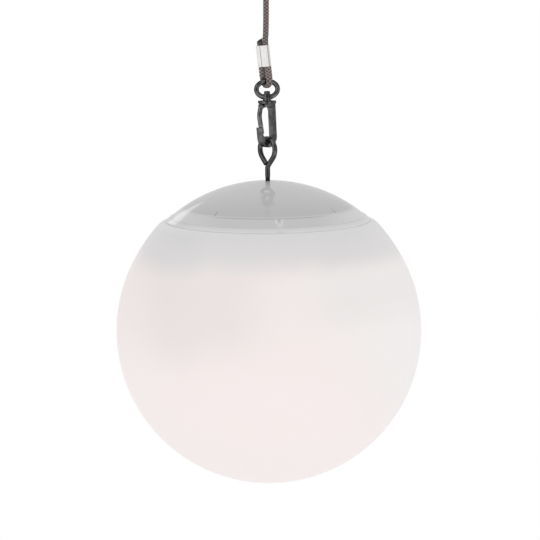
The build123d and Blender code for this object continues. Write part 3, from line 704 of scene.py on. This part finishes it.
# Height over the globe's centre in metres, and its tone there, which is painted light low down and
# painted shade toward the rim
GLOBE_TONES = (
    (-0.1, (0.97, 0.90, 0.885)),
    (-0.03, (0.95, 0.875, 0.865)),
    (0.030, (0.905, 0.84, 0.825)),
    (0.044, (0.885, 0.828, 0.813)),
    (0.050, (0.85, 0.80, 0.788)),
    (0.056, (0.775, 0.75, 0.74)),
    (0.062, (0.715, 0.698, 0.703)),
    (0.076, (0.66, 0.66, 0.66)),
)
GLOBE_LOW_Z = GLOBE_Z - 0.1
GLOBE_HIGH_Z = GLOBE_Z + 0.08


def globe_sides(tree, tone, aside, height):
    """Cooler at the right, and dimmer under the rim's shade at the left and the right."""
    cool, dim, shade = (0.90, 0.895, 0.88), (0.80, 0.74, 0.728), (0.80, 0.775, 0.767)
    cool_share, dim_share, shade_share = 0.85, 0.6, 0.52
    lean = 0.57
    cool_start = lean * GLOBE_Z + 0.030
    cool_reach = 0.050
    rim_edge = (GLOBE_Z + 0.044, GLOBE_Z + 0.060)
    dim_left, dim_right = (-0.092, -0.060), (-0.030, 0.012)
    dim_low = (GLOBE_Z - 0.014, GLOBE_Z + 0.024)
    shade_left = (0.012, 0.052)
    shade_low = (GLOBE_Z + 0.008, GLOBE_Z + 0.036)
    below_rim = fade_out(tree, height, *rim_edge)
    slanted = measure(tree, "MULTIPLY_ADD", height, lean, aside)
    far_side = times(tree, soft_step(tree, slanted, cool_start, cool_start + cool_reach), cool_share)
    tone = shade_over(tree, tone, times(tree, far_side, below_rim), cool)
    dimmed = times(tree, between(tree, aside, dim_left, dim_right), soft_step(tree, height, *dim_low))
    tone = shade_over(tree, tone, times(tree, dimmed, times(tree, below_rim, dim_share)), dim)
    shaded = times(tree, below_rim, soft_step(tree, height, *shade_low))
    shaded = times(tree, shaded, soft_step(tree, aside, *shade_left))
    return shade_over(tree, tone, shaded, shade, share=shade_share)


def globe_material():
    drift = 0.006
    rim_shade_dip_depth = 0.007
    rim_shade_dip_left, rim_shade_dip_right = (-0.092, -0.068), (-0.054, -0.032)
    right_rim_shade_depth = 0.004
    right_rim_shade_edge = (0.022, 0.044)
    material, tree, shader = start_material("frosted_globe")
    cloud = measure(tree, "MULTIPLY_ADD", grain(tree, scale=14, detail=2.0), 2 * drift, -drift)
    aside = measure(tree, "ADD", place_sideways(tree), cloud)
    height = measure(tree, "ADD", place_along(tree, "Z"), cloud)
    # The painted shade under the rim reaches lower at the left and at the right.
    rim_shade_dip = between(tree, aside, rim_shade_dip_left, rim_shade_dip_right)
    height = measure(tree, "MULTIPLY_ADD", rim_shade_dip, rim_shade_dip_depth, height)
    right_rim_shade = soft_step(tree, aside, *right_rim_shade_edge)
    height = measure(tree, "MULTIPLY_ADD", right_rim_shade, right_rim_shade_depth, height)
    stops = [(GLOBE_Z + rise, tone) for rise, tone in GLOBE_TONES]
    tone = tone_ramp(tree, height, GLOBE_LOW_Z, GLOBE_HIGH_Z, stops)
    tone = globe_sides(tree, tone, aside, height)
    fine = grain(tree, scale=1800)
    dress(tree, shader, tone, fine, rough=(0.42, 0.58))
    shader.inputs["Specular IOR Level"].default_value = 0.35
    shader.inputs["Sheen Weight"].default_value = 0.3
    shader.inputs["Sheen Roughness"].default_value = 0.5
    relief(tree, fine, shader, strength=0.06, depth=0.0001)
    return material


# Finish of the crimped sleeves on the cord, with painted shade in the crimps and along one side

def crimped_sleeve(name, centre, lean):
    """Bright sleeve with two lengthwise crimp lines in painted shade and one side darkened by painted
    shade, set about a point on its axis.
    """
    crimp_width = 0.00050
    crimps = ((-0.00175, 0.85), (0.00306, 0.75))
    crimp_shade_tone = (0.26, 0.25, 0.24)
    shaded_side = (0.0030, 0.0034)
    shaded_side_tone = (0.66, 0.65, 0.64)
    material, tree, shader = start_material(name)
    middle = Vector(centre).dot(Vector(SIDEWAYS))
    aside = measure(tree, "SUBTRACT", place_sideways(tree), middle)
    rise = measure(tree, "SUBTRACT", place_along(tree, "Z"), centre[2])
    across = measure(tree, "MULTIPLY_ADD", rise, lean, aside)
    drawn = grain(tree, scale=420)
    tone = two_tones(tree, drawn, (0.87, 0.855, 0.845), (0.94, 0.925, 0.915))
    # Painted shade along the sleeve's side past the second crimp.
    tone = shade_over(tree, tone, soft_step(tree, across, *shaded_side), shaded_side_tone)
    # Painted shade in the crimp lines.
    for place, depth in crimps:
        from_line = measure(tree, "ABSOLUTE", measure(tree, "SUBTRACT", across, place))
        line = fade_out(tree, from_line, 0.0, crimp_width)
        tone = shade_over(tree, tone, line, crimp_shade_tone, share=depth)
    dress(tree, shader, tone, drawn, rough=(0.28, 0.42))
    shader.inputs["Metallic"].default_value = 0.15
    relief(tree, drawn, shader, strength=0.1, depth=0.0001)
    return material


# Steps shared by the modelled pieces

def screw_round(piece, name, steps):
    screw = piece.modifiers.new(name, "SCREW")
    screw.axis = "Z"
    screw.angle = math.radians(360)
    screw.steps = steps
    screw.render_steps = steps
    return screw


def open_mesh():
    bpy.ops.object.mode_set(mode="EDIT")
    bpy.ops.mesh.select_all(action="SELECT")


def close_mesh():
    """Turns the faces outwards and leaves edit mode."""
    bpy.ops.mesh.select_all(action="SELECT")
    bpy.ops.mesh.normals_make_consistent(inside=False)
    bpy.ops.object.mode_set(mode="OBJECT")


# Eye bolt's thread above the dome

def shank_thread(material):
    pitch = 0.0005
    turns = 5
    ridge = 0.00017
    ridge_radius = 0.00146
    start_z = DOME_TOP_Z + 0.0001
    steps = 28
    bpy.ops.object.select_all(action="DESELECT")
    bpy.ops.mesh.primitive_circle_add(
        vertices=4, radius=ridge, location=(ridge_radius, 0, start_z), rotation=(math.radians(90), 0, 0))
    thread = bpy.context.object
    thread.name = "eye_thread"
    bpy.ops.object.transform_apply(location=True, rotation=True, scale=True)
    helix = screw_round(thread, "helix", steps)
    helix.screw_offset = pitch
    helix.iterations = turns
    helix.use_smooth_shade = False
    bpy.ops.object.modifier_apply(modifier="helix")
    open_mesh()
    bpy.ops.mesh.fill_holes(sides=6)
    close_mesh()
    thread.data.materials.append(material)
    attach(thread, "lamp")


# Squared head of the gate, close under the flange

def gate_shoulder(material):
    middle = (-0.0057, 0, -0.13167)
    lengths = (0.0021, 0.0034, 0.00186)
    edge_round = 0.0004
    bpy.ops.object.select_all(action="DESELECT")
    bpy.ops.mesh.primitive_cube_add(size=1, location=middle, scale=lengths)
    head = bpy.context.object
    head.name = "gate_shoulder"
    bpy.ops.object.transform_apply(location=True, rotation=True, scale=True)
    open_mesh()
    bpy.ops.mesh.bevel(offset=edge_round, segments=3, affect="EDGES")
    close_mesh()
    bpy.ops.object.shade_smooth()
    head.data.materials.append(material)
    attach(head, "gate")


# Silicone seal under the cap, with a lip that fills the gap round it

def neck_seal(material):
    low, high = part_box("neck_gasket")
    inner, outer = 0.06502, 0.06688
    lip_z = GLOBE_Z + 0.07334
    lip_inner = 0.06652
    lip = ((outer, 0.00042), (0.06698, 0.00018), (0.06712, 0.00009), (0.06710, 0.00003),
           (0.06690, 0), (0.06664, 0), (lip_inner, 0.0001))
    merge_distance = 0.00001
    steps = 192
    section = [
        (inner, low[2]),
        (outer, low[2]),
        *((radius, lip_z - drop) for radius, drop in lip),
        (lip_inner, high[2]),
        (inner, high[2]),
    ]
    bpy.ops.object.select_all(action="DESELECT")
    bpy.ops.mesh.primitive_circle_add(vertices=len(section), radius=0.001)
    seal = bpy.context.object
    seal.name = "neck_seal"
    for corner, (radius, height) in zip(seal.data.vertices, section):
        corner.co = (radius, 0, height)
    ring = screw_round(seal, "ring", steps)
    ring.use_merge_vertices = True
    ring.merge_threshold = merge_distance
    bpy.ops.object.modifier_apply(modifier="ring")
    open_mesh()
    bpy.ops.mesh.remove_doubles(threshold=merge_distance)
    close_mesh()
    bpy.ops.object.shade_smooth_by_angle(angle=math.radians(30))
    seal.data.materials.append(material)
    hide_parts("neck_gasket")
    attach(seal, "lamp")


# Finishes of the pieces inside the dome and the globe

def near_lines(tree, value, spacing, half_width):
    nearest = measure(tree, "ABSOLUTE", measure(tree, "WRAP", value, spacing / 2, -spacing / 2))
    return measure(tree, "LESS_THAN", nearest, half_width)


def solar_cells():
    finger, busbar = (0.35, 0.36, 0.40), (0.70, 0.71, 0.74)
    material, tree, shader = start_material("solar_cells")
    crystal = grain(tree, scale=220, detail=2.0)
    tone = two_tones(tree, crystal, (0.008, 0.012, 0.05), (0.02, 0.035, 0.12))
    fingers = near_lines(tree, place_along(tree, "Y"), spacing=0.0025, half_width=0.00008)
    tone = shade_over(tree, tone, fingers, finger)
    busbars = near_lines(tree, place_along(tree, "X"), spacing=0.0175, half_width=0.0006)
    tone = shade_over(tree, tone, busbars, busbar)
    dress(tree, shader, tone, crystal, rough=(0.12, 0.28))
    return material


def printed_board():
    track = (0.04, 0.24, 0.10)
    wander_reach = 0.01
    material, tree, shader = start_material("solder_mask")
    wander = grain(tree, scale=90, detail=1.0)
    shifted = measure(tree, "MULTIPLY_ADD", wander, wander_reach, place_along(tree, "X"))
    tone = two_tones(tree, grain(tree, scale=400), (0.012, 0.11, 0.045), (0.02, 0.15, 0.06))
    tone = shade_over(tree, tone, near_lines(tree, shifted, spacing=0.0046, half_width=0.0004), track)
    crossing = near_lines(tree, place_along(tree, "Y"), spacing=0.0071, half_width=0.0003)
    tone = shade_over(tree, tone, crossing, track)
    dress(tree, shader, tone, wander, rough=(0.3, 0.45))
    return material


def cell_sleeve():
    band_x = 0.0150
    cap_x = 0.0232
    band_tone, cap_tone = (0.75, 0.72, 0.62), (0.55, 0.55, 0.57)
    material, tree, shader = start_material("cell_sleeve")
    along = place_along(tree, "X")
    film = grain(tree, scale=500)
    tone = two_tones(tree, film, (0.02, 0.12, 0.06), (0.03, 0.16, 0.08))
    tone = shade_over(tree, tone, measure(tree, "GREATER_THAN", along, band_x), band_tone)
    caps = measure(tree, "GREATER_THAN", measure(tree, "ABSOLUTE", along), cap_x)
    tone = shade_over(tree, tone, caps, cap_tone)
    tree.links.new(caps, shader.inputs["Metallic"])
    dress(tree, shader, tone, film, rough=(0.25, 0.4))
    return material


def lead_sheath():
    """Red at negative X and black at positive X, which tells the battery's two leads apart."""
    black = (0.02, 0.02, 0.02)
    material, tree, shader = start_material("lead_sheath")
    rub = grain(tree, scale=900)
    tone = two_tones(tree, rub, (0.42, 0.02, 0.02), (0.55, 0.04, 0.03))
    tone = shade_over(tree, tone, measure(tree, "GREATER_THAN", place_along(tree, "X"), 0.0), black)
    dress(tree, shader, tone, rub, rough=(0.45, 0.6))
    return material


def foam_pad():
    material, tree, shader = start_material("foam_pad")
    cells = tree.nodes.new("ShaderNodeTexVoronoi")
    cells.inputs["Scale"].default_value = 1400
    tree.links.new(object_place(tree), cells.inputs["Vector"])
    pores = cells.outputs["Distance"]
    # The pores are drawn darker, as painted shade in their hollows.
    tone = two_tones(tree, pores, (0.42, 0.42, 0.42), (0.62, 0.62, 0.61))
    tree.links.new(tone, shader.inputs["Base Color"])
    shader.inputs["Roughness"].default_value = 0.9
    relief(tree, pores, shader, strength=0.6, depth=0.0003)
    return material


def clear_lens():
    material, tree, shader = start_material("clear_lens")
    haze = grain(tree, scale=300)
    tone = two_tones(tree, haze, (0.90, 0.91, 0.92), (0.96, 0.97, 0.97))
    dress(tree, shader, tone, haze, rough=(0.03, 0.12))
    shader.inputs["Transmission Weight"].default_value = 0.9
    shader.inputs["IOR"].default_value = 1.49
    return material


back, right = set_camera()
set_studio(back, right)
lay_floor()
hang_cord()

# Snap hook, ring and eye bolt
cast_gunmetal = plain_metal(
    "cast_gunmetal", (0.12, 0.12, 0.124), (0.255, 0.255, 0.26),
    rough=(0.20, 0.34), scale=900, edge=0.10, bump=0.4)
gate_gunmetal = plain_metal(
    "gate_gunmetal", (0.15, 0.15, 0.154), (0.31, 0.31, 0.315),
    rough=(0.18, 0.30), scale=900, edge=0.10, bump=0.4)
dark_gunmetal = plain_metal(
    "dark_gunmetal", (0.085, 0.085, 0.088), (0.215, 0.215, 0.22),
    rough=(0.12, 0.24), scale=900, edge=0.05, bump=0.3)
black_nickel = plain_metal(
    "black_nickel", (0.085, 0.085, 0.087), (0.155, 0.155, 0.157),
    rough=(0.05, 0.10), scale=500, edge=0.10, bump=0.05)
blackened_thread = plain_metal(
    "blackened_thread", (0.012, 0.011, 0.010), (0.05, 0.047, 0.045), rough=(0.3, 0.5), scale=1500)
paint(cast_gunmetal, "hook_body")
paint(gate_gunmetal, "hook_gate")
gate_shoulder(gate_gunmetal)
paint(dark_gunmetal, "swivel_ring", "swivel_rivet")
paint(black_nickel, "eye_bolt")
shank_thread(blackened_thread)

# Sleeves, dome and globe
lower_sleeve = crimped_sleeve("lower_sleeve", centre=(-0.00136, 0.00179, -0.0985), lean=0.1006)
upper_sleeve = crimped_sleeve("upper_sleeve", centre=(0.0, 0.0, -0.0450), lean=0.0)
paint(lower_sleeve, "lower_ferrule")
paint(upper_sleeve, "upper_ferrule")
paint(dome_material(), "cap_dome")
paint(globe_material(), "globe")

# Fasteners and seals
plated_steel = plain_metal(
    "plated_steel", (0.55, 0.55, 0.57), (0.72, 0.72, 0.74), rough=(0.22, 0.36), scale=800)
black_rubber = moulded_plastic("black_rubber", grey(0.015), grey(0.035), rough=(0.6, 0.8), scale=700)
milky_silicone = moulded_plastic(
    "milky_silicone", (0.74, 0.74, 0.735), (0.81, 0.81, 0.805), rough=(0.5, 0.65), scale=700)
paint(plated_steel, "gate_pin", "gate_spring", "eye_washer", "eye_nut")
paint(plated_steel, "cap_screws", "cover_screws", "board_screws", "door_screw", "battery_contacts")
paint(black_rubber, "seal_washer")
neck_seal(milky_silicone)

# Module under the dome
white_moulding = moulded_plastic("white_moulding", (0.72, 0.72, 0.71), (0.80, 0.80, 0.79))
black_moulding = moulded_plastic("black_moulding", grey(0.02), grey(0.04))
yellow_phosphor = moulded_plastic(
    "yellow_phosphor", (0.80, 0.58, 0.10), (0.92, 0.74, 0.22), rough=(0.3, 0.45), scale=1500)
paint(white_moulding, "module_base", "lower_cover", "battery_door")
paint(black_moulding, "switch_body", "switch_slider")
paint(foam_pad(), "panel_pad")
paint(solar_cells(), "solar_panel")
paint(printed_board(), "circuit_board")
paint(yellow_phosphor, "led")
paint(clear_lens(), "led_lens")
paint(cell_sleeve(), "battery")
paint(lead_sheath(), "panel_leads", "battery_leads")
